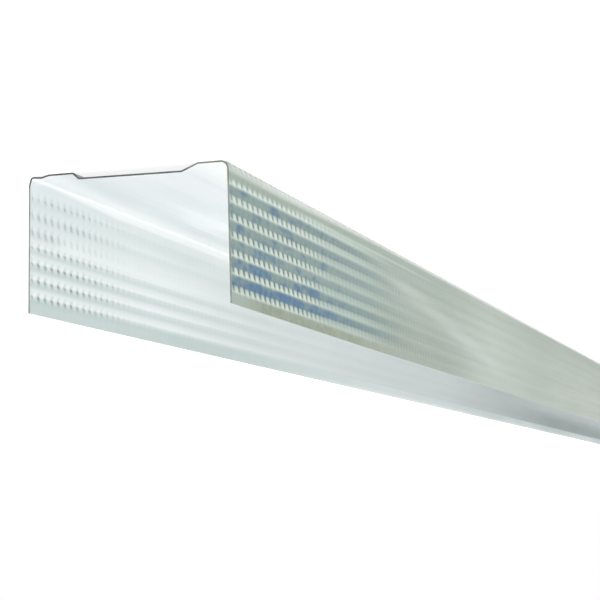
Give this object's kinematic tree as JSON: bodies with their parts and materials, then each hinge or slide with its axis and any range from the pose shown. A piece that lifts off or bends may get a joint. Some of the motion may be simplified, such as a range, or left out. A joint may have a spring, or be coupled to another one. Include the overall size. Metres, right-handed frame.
{
  "type": "lipless drywall metal stud",
  "caption": "Roll-formed sheet-steel channel for drywall framing, with a stepped web, plain free edges and knurled flanges that board screws bite into.",
  "frame": {"origin": "centre of the bounding box at its bottom, on the floor under the web", "axes": "+X along the stud, +Y across the web towards the flange beside the narrow rib, +Z from the web towards the free edges of the flanges"},
  "size_m": [2.6, 0.0738, 0.0485],
  "materials": {
    "galvanised_sheet": "hot-dip zinc coating, satin, with knurled rows along the flanges"
  },
  "bodies": {
    "root": {"stud_profile": "galvanised_sheet"}
  },
  "joints": []
}
